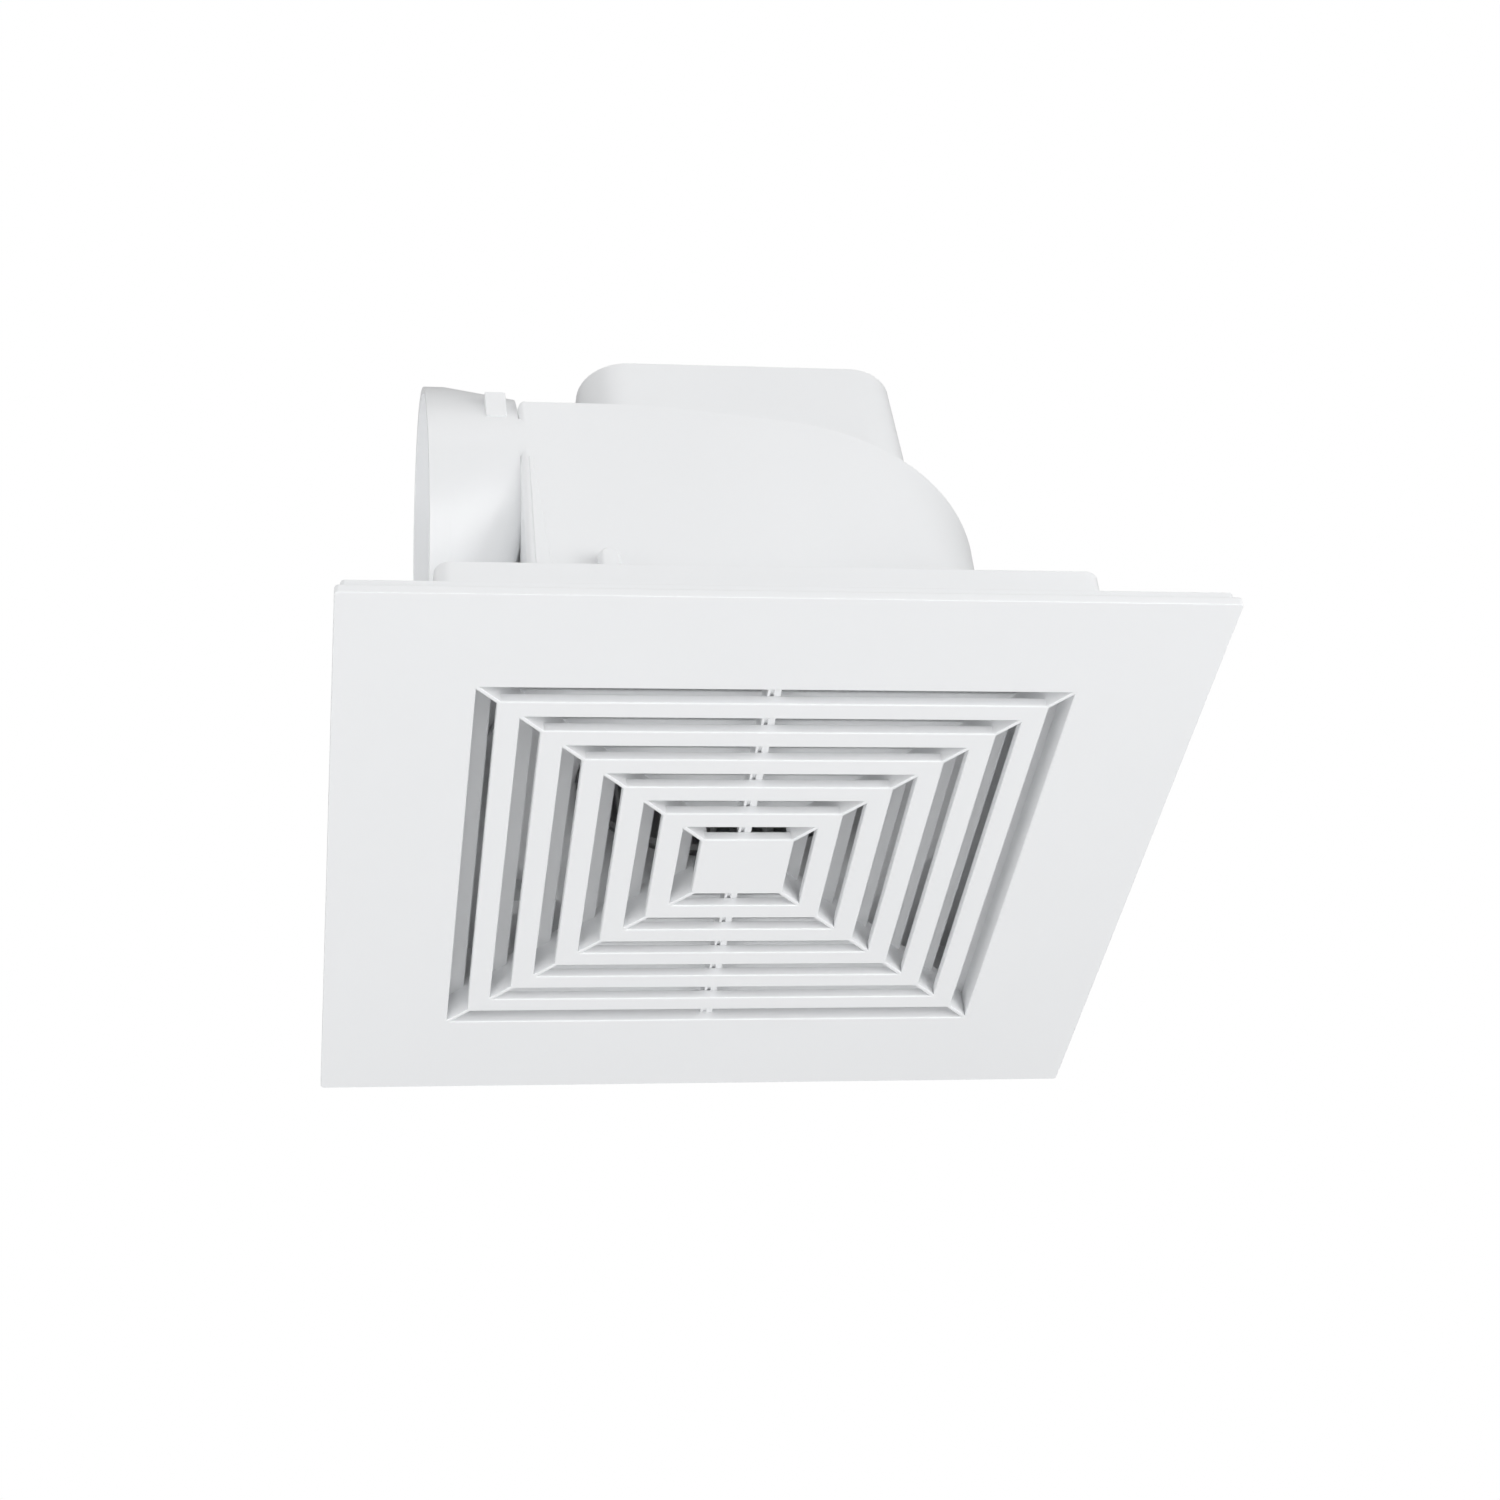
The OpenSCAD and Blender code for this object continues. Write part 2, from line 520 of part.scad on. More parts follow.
// ---------- electrical connection ----------
module terminal_box() color([0.9, 0.91, 0.91]) translate([term_c[0], term_c[1], 0]) difference() {
  plate(term_s, term_s, 2, box_top, term_top);
  difference() {
    plate(term_s - 3.2, term_s - 3.2, 1, box_top + 1.6, term_top + 1);
    post([10.5, 10.5], 2.8, box_top, term_top);
  }
  post([10.5, 10.5], 1.55, 46, term_top + 1);
  // cable entry in the outer wall
  translate([term_s / 2 - 4, 0, 46]) rotate([0, 90, 0]) cylinder(h = 8, r = 5.2);
  for (s = [-1, 1]) post([s * 9.8, 0], 1.45, box_top - 1, box_top + 3);
}
module terminal_lid() color([0.9, 0.91, 0.91]) translate([term_c[0], term_c[1], 0]) difference() {
  plate(term_s, term_s, 2, term_top, term_top + 1.8);
  post([70 - term_c[0], 74 - term_c[1]], 4.6, 54, 58);
  post([10.5, 10.5], 1.6, 46, 58);
}
module terminal_lid_screw() color([0.75, 0.75, 0.77]) screw(term_c + [10.5, 10.5], term_top + 1.8, 48);
module terminal_box_screws() color([0.75, 0.75, 0.77])
  for (t = [-1, 1]) screw(term_c + [t * 9.8, 0], box_top + 1.6, roof_z + 0.1, 2.6, 1.6, 1.4);
module terminal_block() color([0.85, 0.85, 0.82]) translate([term_c[0], term_c[1], 0]) difference() {
  block(-12.6, 5.6, -12.6, -3.6, box_top + 1.6, 46.5);
  for (i = [0:2]) {
    post([-9.6 + i * 6, -8.1], 1.7, 40, 48);
    translate([-9.6 + i * 6, -14, 40]) rotate([-90, 0, 0]) cylinder(h = 12, r = 1.2);
  }
}
module terminal_block_screws() color([0.78, 0.7, 0.4]) translate([term_c[0], term_c[1], 0]) for (i = [0:2])
  difference() {
    post([-9.6 + i * 6, -8.1], 1.66, 41.6, 45.2);
    translate([-9.6 + i * 6, -8.1, 45.2]) cube([0.6, 4, 1.2], center = true);
  }
// rubber ring in the supply cable entry
module cable_grommet() color([0.15, 0.15, 0.16]) translate([term_c[0] + term_s / 2, term_c[1], 46]) rotate([0, 90, 0])
  difference() {
    union() {
      translate([0, 0, -2.9]) cylinder(h = 1.2, r = 6.6);
      translate([0, 0, -1.8]) cylinder(h = 2, r = 5.15);
      translate([0, 0, 0]) cylinder(h = 1.6, r = 6.6);
    }
    translate([0, 0, -4]) cylinder(h = 8, r = 3.6);
  }
// rubber rings where the motor lead passes the cover and the terminal lid
module lead_grommets() color([0.15, 0.15, 0.16]) {
  translate([38, 0, 108]) rotate([-90, 0, 0]) difference() {
    union() {
      translate([0, 0, 49.7]) cylinder(h = 1.4, r = 5.4);
      translate([0, 0, 46.2]) cylinder(h = 4, r = 4.5);
    }
    translate([0, 0, 45]) cylinder(h = 8, r = 3.15);
  }
  difference() {
    union() {
      post([70, 74], 5.8, term_top + 1.8, term_top + 3.2);
      post([70, 74], 4.5, term_top - 0.6, term_top + 2);
    }
    post([70, 74], 3.15, 53, 60);
  }
}
// sheathed lead swept along its route
function unit(v) = v / norm(v);
function tan_at(p, i) = unit(p[min(i + 1, len(p) - 1)] - p[max(i - 1, 0)]);
module sweep(p, r, n) {
  ref = [1, -0.4, 0.05];
  pts = [for (i = [0:len(p) - 1]) let (t = tan_at(p, i), u = unit(cross(t, ref)), v = cross(t, u))
    for (k = [0:n - 1]) p[i] + r * (cos(360 * k / n) * u + sin(360 * k / n) * v)];
  m = len(p);
  faces = concat([[for (k = [0:n - 1]) k]],
    [for (i = [0:m - 2], k = [0:n - 1]) [i * n + k, (i + 1) * n + k, (i + 1) * n + (k + 1) % n, i * n + (k + 1) % n]],
    [[for (k = [n - 1:-1:0]) (m - 1) * n + k]]);
  polyhedron(pts, faces, convexity = 4);
}
module motor_lead() color([0.92, 0.92, 0.92]) sweep(lead_pts, 3, 12);

grille_panel();
panel_springs();
housing_box();
spring_brackets();
bracket_rivets();
inlet_ring();
inlet_ring_screws();
volute_casing();
volute_screws();
duct_adaptor();
adaptor_screws();
damper_flap();
damper_pin();
fan_wheel();
wheel_hub_nut();
motor_shaft();
rotor_core();
rotor_end_rings();
stator_core();
stator_windings();
lower_end_shield();
upper_end_shield();
lower_bearing();
upper_bearing();
motor_spacers();
motor_bolts();
rubber_mounts();
mount_screws();
run_capacitor();
motor_cover();
cover_screws();
terminal_box();
terminal_lid();
terminal_lid_screw();
terminal_box_screws();
terminal_block();
terminal_block_screws();
cable_grommet();
lead_grommets();
motor_lead();
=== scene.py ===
import json
import math

import bmesh
import bpy
from mathutils import Matrix, Vector
from mathutils.geometry import tessellate_polygon


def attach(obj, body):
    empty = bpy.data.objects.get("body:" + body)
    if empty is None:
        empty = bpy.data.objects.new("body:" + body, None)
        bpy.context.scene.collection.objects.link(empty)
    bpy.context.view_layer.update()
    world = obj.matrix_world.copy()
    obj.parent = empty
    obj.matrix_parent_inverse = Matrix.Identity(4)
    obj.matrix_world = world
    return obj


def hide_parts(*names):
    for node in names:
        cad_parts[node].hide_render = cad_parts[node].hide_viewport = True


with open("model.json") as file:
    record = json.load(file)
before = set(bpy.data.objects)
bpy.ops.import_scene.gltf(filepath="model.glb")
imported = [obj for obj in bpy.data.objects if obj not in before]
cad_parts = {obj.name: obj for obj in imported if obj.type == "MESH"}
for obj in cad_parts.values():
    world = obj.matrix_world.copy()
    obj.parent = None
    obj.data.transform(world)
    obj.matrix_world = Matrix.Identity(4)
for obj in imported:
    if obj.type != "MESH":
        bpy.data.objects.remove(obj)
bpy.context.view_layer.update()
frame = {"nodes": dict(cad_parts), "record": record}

N = frame["nodes"]
BODY = {n: b for b, ns in frame["record"]["behaviour"]["bodies"].items() for n in ns}
SLOT = {s["node"]: s["material_slot"] for s in frame["record"]["subparts"]}
BASE = {m["slot"]: tuple(m["base_color"][:3]) for m in frame["record"]["materials"]}
MM = 0.001

# ---------------------------------------------------------------- camera
scene = bpy.context.scene
cam_data = bpy.data.cameras.new("camera")
cam_data.sensor_width = 36.0
cam_data.lens = 70.343
cam_data.clip_start = 0.02
cam_data.clip_end = 20.0
cam = bpy.data.objects.new("camera", cam_data)
scene.collection.objects.link(cam)
R0 = Vector((0.98738012, -0.12843187, -0.09265934))
R1 = Vector((0.00570955, 0.61357598, -0.78961505))
R2 = Vector((0.15826529, 0.77912116, 0.60656601))
rot = Matrix((R0, -R1, -R2)).transposed()
cam.matrix_world = Matrix.Translation((-0.13328, -0.68727, -0.49166)) @ rot.to_4x4()
scene.camera = cam


# ---------------------------------------------------------------- material helpers
def rgb(c):
    return (c[0], c[1], c[2], 1.0)


def shade(c, k):
    return tuple(max(0.0, min(1.0, v * k)) for v in c)


class Mat:
    """A small helper round one node material."""

    def __init__(self, name):
        self.m = bpy.data.materials.new(name)
        self.m.use_nodes = True
        self.t = self.m.node_tree
        self.bsdf = self.t.nodes["Principled BSDF"]
        self.coord = self.t.nodes.new("ShaderNodeTexCoord")

    def link(self, a, b):
        self.t.links.new(a, b)

    def mapped(self, stretch=None, rotate=None):
        src = self.coord.outputs["Object"]
        if stretch or rotate:
            mp = self.t.nodes.new("ShaderNodeMapping")
            if stretch:
                mp.inputs["Scale"].default_value = stretch
            if rotate:
                mp.inputs["Rotation"].default_value = rotate
            self.link(src, mp.inputs["Vector"])
            src = mp.outputs["Vector"]
        return src

    def noise(self, scale, detail=3.0, rough=0.5, stretch=None, distort=0.0):
        node = self.t.nodes.new("ShaderNodeTexNoise")
        node.inputs["Scale"].default_value = scale
        node.inputs["Detail"].default_value = detail
        node.inputs["Roughness"].default_value = rough
        node.inputs["Distortion"].default_value = distort
        self.link(self.mapped(stretch), node.inputs["Vector"])
        return node.outputs["Fac"]

    def wave(self, scale, direction="Z", profile="SIN", distort=0.0, rings=False, stretch=None):
        node = self.t.nodes.new("ShaderNodeTexWave")
        if rings:
            node.wave_type = "RINGS"
            node.rings_direction = direction
        else:
            node.wave_type = "BANDS"
            node.bands_direction = direction
        node.wave_profile = profile
        node.inputs["Scale"].default_value = scale
        node.inputs["Distortion"].default_value = distort
        node.inputs["Detail"].default_value = 1.0
        self.link(self.mapped(stretch), node.inputs["Vector"])
        return node.outputs["Fac"]

    def voronoi(self, scale, feature="F1", out="Distance"):
        node = self.t.nodes.new("ShaderNodeTexVoronoi")
        node.feature = feature
        node.inputs["Scale"].default_value = scale
        self.link(self.mapped(), node.inputs["Vector"])
        return node.outputs[out]

    def ramp(self, fac, lo, hi, a=0.3, b=0.7):
        node = self.t.nodes.new("ShaderNodeMapRange")
        node.inputs["From Min"].default_value = a
        node.inputs["From Max"].default_value = b
        node.inputs["To Min"].default_value = lo
        node.inputs["To Max"].default_value = hi
        self.link(fac, node.inputs["Value"])
        return node.outputs["Result"]

    def mix(self, fac, a, b):
        node = self.t.nodes.new("ShaderNodeMix")
        node.data_type = "RGBA"
        if isinstance(a, tuple):
            node.inputs["A"].default_value = a
        else:
            self.link(a, node.inputs["A"])
        if isinstance(b, tuple):
            node.inputs["B"].default_value = b
        else:
            self.link(b, node.inputs["B"])
        self.link(fac, node.inputs["Factor"])
        return node.outputs["Result"]

    def bump(self, height, strength, distance, normal=None):
        node = self.t.nodes.new("ShaderNodeBump")
        node.inputs["Strength"].default_value = strength
        node.inputs["Distance"].default_value = distance
        self.link(height, node.inputs["Height"])
        if normal is not None:
            self.link(normal, node.inputs["Normal"])
        return node.outputs["Normal"]


def plastic(name, base, rough, grain_scale, grain, mottle=0.012, coat=0.0, spec=0.5, sss=0.0, ripple=0.25, fleck=1.0):
    """Moulded plastic: faint colour mottling, fine spark-eroded grain, slow ripple of the mould, satin gloss."""
    k = Mat(name)
    big = k.noise(14.0, 2.0, 0.5)
    fine = k.noise(260.0, 3.0, 0.6)
    col = k.mix(k.ramp(big, 0.0, 1.0), rgb(shade(base, 1 - mottle)), rgb(shade(base, 1 + mottle)))
    col2 = k.mix(k.ramp(fine, 0.0, 0.25 * fleck), col, rgb(shade(base, 1.015)))
    k.link(col2, k.bsdf.inputs["Base Color"])
    k.link(k.ramp(fine, rough - 0.04 * fleck, rough + 0.05 * fleck), k.bsdf.inputs["Roughness"])
    b1 = k.bump(k.noise(grain_scale, 1.0, 0.5), grain, 0.00001)
    b2 = k.bump(k.noise(11.0, 1.0, 0.4), ripple, 0.0003, b1)
    k.link(b2, k.bsdf.inputs["Normal"])
    k.bsdf.inputs["IOR"].default_value = 1.49
    k.bsdf.inputs["Specular IOR Level"].default_value = spec
    if coat:
        k.bsdf.inputs["Coat Weight"].default_value = coat
        k.bsdf.inputs["Coat Roughness"].default_value = 0.12
    if sss:
        k.bsdf.inputs["Subsurface Weight"].default_value = sss
        k.bsdf.inputs["Subsurface Radius"].default_value = (0.0012, 0.0011, 0.001)
        k.bsdf.inputs["Subsurface Scale"].default_value = 1.0
    return k.m


def metal(name, base, rough, streak=None, spangle=0.0, scale=900.0, bump=0.25, tint=None, metallic=1.0, aniso=0.0):
    """Metal with a turned, drawn or plated surface: fine streaks along one way, a faint spangle, and tarnish in patches."""
    k = Mat(name)
    lines = k.noise(scale, 3.0, 0.6, stretch=streak)
    patch = k.noise(60.0, 4.0, 0.6)
    a = k.mix(k.ramp(lines, 0.0, 1.0), rgb(shade(base, 0.86)), rgb(shade(base, 1.06)))
    col = k.mix(k.ramp(patch, 0.0, 0.5), a, rgb(tint or shade(base, 0.9)))
    if spangle:
        cells = k.voronoi(420.0, "F1", "Color")
        sep = k.t.nodes.new("ShaderNodeSeparateColor")
        k.link(cells, sep.inputs["Color"])
        col = k.mix(k.ramp(sep.outputs["Red"], 0.0, spangle, 0.0, 1.0), col, rgb(shade(base, 1.15)))
    k.link(col, k.bsdf.inputs["Base Color"])
    k.link(k.ramp(lines, rough - 0.06, rough + 0.1), k.bsdf.inputs["Roughness"])
    k.link(k.bump(lines, bump, 0.00002), k.bsdf.inputs["Normal"])
    k.bsdf.inputs["Metallic"].default_value = metallic
    k.bsdf.inputs["Anisotropic"].default_value = aniso
    return k.m


MATS = {}
MATS["panel_white"] = plastic("panel_white", (0.925, 0.935, 0.945), 0.30, 2600.0, 0.02, mottle=0.004, coat=0.15, ripple=0.15, fleck=0.3)
MATS["casing_white"] = plastic("casing_white", (0.928, 0.938, 0.948), 0.34, 2200.0, 0.04, mottle=0.005, coat=0.10, ripple=0.25, fleck=0.4)
MATS["inner_white"] = plastic("inner_white", (0.95, 0.96, 0.968), 0.42, 1800.0, 0.08, mottle=0.006)
MATS["wheel_plastic"] = plastic("wheel_plastic", (0.74, 0.75, 0.755), 0.46, 1800.0, 0.18, mottle=0.015)
MATS["terminal_plastic"] = plastic("terminal_plastic", (0.80, 0.795, 0.75), 0.5, 1500.0, 0.25, mottle=0.02)
MATS["capacitor_case"] = plastic("capacitor_case", (0.045, 0.05, 0.06), 0.32, 1200.0, 0.2, mottle=0.10, coat=0.2)
MATS["zinc_steel"] = metal("zinc_steel", (0.66, 0.68, 0.70), 0.34, spangle=0.35, tint=(0.62, 0.63, 0.6))
MATS["spring_steel"] = metal("spring_steel", (0.60, 0.61, 0.62), 0.26, streak=(1.0, 1.0, 0.03), scale=1600.0)
MATS["shaft_steel"] = metal("shaft_steel", (0.62, 0.63, 0.64), 0.22, streak=(0.1, 0.1, 4.0), scale=1200.0, aniso=0.5)
MATS["bearing_steel"] = metal("bearing_steel", (0.72, 0.73, 0.74), 0.14, streak=(0.2, 0.2, 5.0), scale=900.0, bump=0.12, aniso=0.4)
MATS["cast_aluminium"] = metal("cast_aluminium", (0.70, 0.71, 0.72), 0.46, scale=700.0, bump=0.6)
MATS["brass_nut"] = metal("brass_nut", (0.72, 0.55, 0.26), 0.26, streak=(0.3, 0.3, 3.0), scale=900.0, tint=(0.55, 0.40, 0.18))


def laminations():
    """Stack of half-millimetre sheets: a fine line at each sheet, blued lacquer on the sides."""
    k = Mat("laminations")
    line = k.wave(314.0, "Z")
    rough = k.noise(300.0, 4.0, 0.6)
    a = k.mix(k.ramp(line, 0.0, 1.0, 0.1, 0.55), (0.10, 0.11, 0.13, 1), (0.34, 0.35, 0.38, 1))
    col = k.mix(k.ramp(rough, 0.0, 0.6), a, (0.22, 0.20, 0.19, 1))
    k.link(col, k.bsdf.inputs["Base Color"])
    k.link(k.ramp(rough, 0.36, 0.55), k.bsdf.inputs["Roughness"])
    k.link(k.bump(line, 0.6, 0.00008), k.bsdf.inputs["Normal"])
    k.bsdf.inputs["Metallic"].default_value = 0.85
    return k.m


def windings():
    """Enamelled copper wire, wound close: bands round the coil with a varnish on top."""
    k = Mat("copper_winding")
    turns = k.wave(420.0, "Z", distort=0.6, rings=False)
    across = k.wave(380.0, "Z", distort=0.8, rings=True)
    blot = k.noise(120.0, 3.0, 0.6)
    both = k.mix(k.ramp(blot, 0.0, 1.0, 0.4, 0.6), turns, across)
    bw = k.t.nodes.new("ShaderNodeRGBToBW")
    k.link(both, bw.inputs["Color"])
    col = k.mix(k.ramp(bw.outputs["Val"], 0.0, 1.0, 0.1, 0.9), (0.17, 0.045, 0.015, 1), (0.66, 0.26, 0.09, 1))
    k.link(col, k.bsdf.inputs["Base Color"])
    k.link(k.ramp(blot, 0.24, 0.42), k.bsdf.inputs["Roughness"])
    k.link(k.bump(bw.outputs["Val"], 0.9, 0.00025), k.bsdf.inputs["Normal"])
    k.bsdf.inputs["Metallic"].default_value = 0.75
    k.bsdf.inputs["Coat Weight"].default_value = 0.5
    k.bsdf.inputs["Coat Roughness"].default_value = 0.2
    return k.m


def rubber():
    k = Mat("black_rubber")
    dust = k.noise(180.0, 4.0, 0.65)
    col = k.mix(k.ramp(dust, 0.0, 1.0, 0.45, 0.8), (0.018, 0.018, 0.02, 1), (0.055, 0.055, 0.058, 1))
    k.link(col, k.bsdf.inputs["Base Color"])
    k.link(k.ramp(dust, 0.62, 0.82), k.bsdf.inputs["Roughness"])
    k.link(k.bump(k.noise(1600.0, 2.0, 0.6), 0.4, 0.00006), k.bsdf.inputs["Normal"])
    k.bsdf.inputs["Sheen Weight"].default_value = 0.15
    return k.m


def sheath():
    """Flexible sheath of the lead: softly rippled, slightly waxy."""
    k = Mat("lead_sheath")
    soft = k.noise(40.0, 3.0, 0.5)
    col = k.mix(k.ramp(soft, 0.0, 1.0), (0.80, 0.80, 0.79, 1), (0.86, 0.862, 0.86, 1))
    k.link(col, k.bsdf.inputs["Base Color"])
    k.link(k.ramp(soft, 0.38, 0.52), k.bsdf.inputs["Roughness"])
    k.link(k.bump(k.noise(900.0, 2.0, 0.5), 0.3, 0.00006), k.bsdf.inputs["Normal"])
    return k.m


MATS["laminations"] = laminations()
MATS["copper_winding"] = windings()
MATS["black_rubber"] = rubber()
MATS["lead_sheath"] = sheath()

for name, o in N.items():
    o.data.materials.clear()
    o.data.materials.append(MATS[SLOT[name]])


# ---------------------------------------------------------------- mesh helpers
def finish_piece(bm, name, node, angle=38.0, soft=None):
    """Turns bm into an object in the row frame that stands for one CAD node."""
    mesh = bpy.data.meshes.new(name)
    bmesh.ops.recalc_face_normals(bm, faces=bm.faces[:])
    limit = math.radians(angle)
    for f in bm.faces:
        f.smooth = True
    for e in bm.edges:
        e.smooth = len(e.link_faces) == 2 and (e.calc_face_angle(0.0) < limit or (soft is not None and soft(e)))
    bm.to_mesh(mesh)
    bm.free()
    o = bpy.data.objects.new(name, mesh)
    scene.collection.objects.link(o)
    mesh.materials.append(MATS[SLOT[node]])
    mod = o.modifiers.new("normals", "WEIGHTED_NORMAL")
    mod.keep_sharp = True
    mod.weight = 60
    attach(o, BODY[node])
    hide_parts(node)
    return o


def folded(bm):
    """Places where a face has folded over itself."""
    spots = []
    for f in bm.faces:
        if len(f.verts) < 4:
            continue
        n = f.normal
        co = [v.co for v in f.verts]
        total = Vector((0, 0, 0))
        for i, a in enumerate(co):
            total += a.cross(co[(i + 1) % len(co)])
        if len(f.verts) == 4:
            tris = [(0, 1, 2), (0, 2, 3)] if (co[0] - co[2]).length <= (co[1] - co[3]).length else [(1, 2, 3), (1, 3, 0)]
        else:
            tris = tessellate_polygon([co])
        parts = [(co[b] - co[a]).cross(co[c] - co[a]) for a, b, c in tris]
        if sum(p.length for p in parts) - total.length < 2e-8:
            continue
        if sum((p.dot(total) for p in parts), 0.0) < 0:
            parts = [-p for p in parts]
        for t, p in zip(tris, parts):
            if p.dot(total) < 0 and p.length > 1e-8:
                spots += [co[i].copy() for i in t]
    return spots


def near_segment(p, a, b):
    d = b - a
    k = max(0.0, min(1.0, (p - a).dot(d) / max(d.length_squared, 1e-18)))
    return (a + d * k - p).length


def refine(node, width, segments=2, bevel_angle=32.0, sharp=38.0, tweak=None, soft=None, keep=None, extra=None):
    """A finer copy of a CAD node: flat faces rejoined, and its outer edges rounded as a mould leaves them.

    Where rounding would fold a narrow face over itself, the edges close by are left as they were."""
    base = bmesh.new()
    base.from_mesh(N[node].data)
    bmesh.ops.remove_doubles(base, verts=base.verts[:], dist=2e-6)
    if tweak is not None:
        tweak(base)
    bmesh.ops.dissolve_degenerate(base, edges=base.edges[:], dist=1e-6)
    bmesh.ops.dissolve_limit(base, angle_limit=math.radians(0.6), verts=base.verts[:], edges=base.edges[:], use_dissolve_boundaries=False)
    bmesh.ops.recalc_face_normals(base, faces=base.faces[:])
    base.edges.index_update()
    lim = math.radians(bevel_angle)
    wanted = {}
    for e in base.edges:
        if len(e.link_faces) == 2 and e.calc_length() > 1e-5 and e.calc_face_angle_signed(0.0) > lim:
            if keep is None or keep(e):
                wanted[e.index] = (e.verts[0].co.copy(), e.verts[1].co.copy())
    skip = set()
    for attempt in range(10):
        bm = base.copy()
        bm.edges.ensure_lookup_table()
        edges = [bm.edges[i] for i in wanted if i not in skip]
        bmesh.ops.bevel(bm, geom=edges, offset=width * MM, offset_type="OFFSET", segments=segments, profile=0.5,
                        affect="EDGES", clamp_overlap=False, loop_slide=True, miter_outer="SHARP", miter_inner="SHARP")
        spots = folded(bm)
        if not spots or attempt == 9:
            break
        before = len(skip)
        for i, (a, b) in wanted.items():
            if i not in skip and (b - a).length < (3.0 + 6 * attempt) * MM and any(near_segment(p, a, b) < 1.6 * width * MM for p in spots):
                skip.add(i)
        if len(skip) == before:
            for i, (a, b) in wanted.items():
                if i not in skip and any(near_segment(p, a, b) < 1.6 * width * MM for p in spots):
                    skip.add(i)
        bm.free()
    print("refine", node, "edges", len(wanted), "left sharp", len(skip), "folds", len(spots))
    base.free()
    if extra is not None:
        extra(bm)
    return finish_piece(bm, node + "_fine", node, sharp, soft)


def square_loop(half, corner, z, n=5):
    """Points of a rounded square at height z, in metres."""
    pts = []
    c = max(corner, 0.02)
    for q in range(4):
        cx = (half - c) * (1 if q in (0, 3) else -1)
        cy = (half - c) * (1 if q in (0, 1) else -1)
        for i in range(n + 1):
            a = math.radians(90 * q + 90 * i / n)
            pts.append(Vector(((cx + c * math.cos(a)) * MM, (cy + c * math.sin(a)) * MM, z * MM)))
    return pts


def arc_pts(cx, cz, r, a0, a1, n):
    return [(cx + r * math.cos(math.radians(a0 + (a1 - a0) * i / n)), cz + r * math.sin(math.radians(a0 + (a1 - a0) * i / n)))
            for i in range(n + 1)]


def sweep_square(bm, profile, corner):
    """Sweeps a closed profile of (half side, z) points round the square; corner gives the corner radius at a half side."""
    loops = []
    for half, z in profile:
        loops.append([bm.verts.new(p) for p in square_loop(half, corner(half), z)])
    m = len(loops[0])
    n = len(loops)
    for i in range(n):
        a, b = loops[i], loops[(i + 1) % n]
        for j in range(m):
            bm.faces.new((a[j], a[(j + 1) % m], b[(j + 1) % m], b[j]))


def round_box(bm, x0, x1, y0, y1, z0, z1, r, seg=3, matrix=None, only_bottom=False):
    """A box with rounded edges, added to bm."""
    geo = bmesh.ops.create_cube(bm, size=1.0)
    vs = geo["verts"]
    for v in vs:
        v.co = Vector((x0 + (v.co.x + 0.5) * (x1 - x0), y0 + (v.co.y + 0.5) * (y1 - y0), z0 + (v.co.z + 0.5) * (z1 - z0))) * MM
    es = set(e for v in vs for e in v.link_edges)
    if only_bottom:
        es = [e for e in es if all(v.co.z < (z0 + 0.001) * MM for v in e.verts)]
    new = bmesh.ops.bevel(bm, geom=list(es), offset=r * MM, offset_type="OFFSET", segments=seg, profile=0.5, affect="EDGES", clamp_overlap=True)
    if matrix is not None:
        moved = set(v for f in new["faces"] for v in f.verts) | set(v for v in vs if v.is_valid)
        linked = set(moved)
        stack = list(moved)
        while stack:
            v = stack.pop()
            for e in v.link_edges:
                w = e.other_vert(v)
                if w not in linked:
                    linked.add(w)
                    stack.append(w)
        bmesh.ops.transform(bm, matrix=matrix, verts=list(linked))


# ---------------------------------------------------------------- the grille panel
FIELD, PITCH, SLOTW = 82.0, 12.5, 6.0
PANEL, RIM, FACE_T, RING_T = 120.0, 2.75, 2.4, 3.0
STRIP_Z, STRIP_T, WALL_TOP = 9.0, 1.2, 10.2


def ring_profile(h_in, h_out, z0, z1, rb, rt, nb=4):
    """Closed section of one square ring, rounded rb below and rt above."""
    return (arc_pts(h_in + rb, z0 + rb, rb, 180, 270, nb) + arc_pts(h_out - rb, z0 + rb, rb, 270, 360, nb)
            + arc_pts(h_out - rt, z1 - rt, rt, 0, 90, 2) + arc_pts(h_in + rt, z1 - rt, rt, 90, 180, 2))


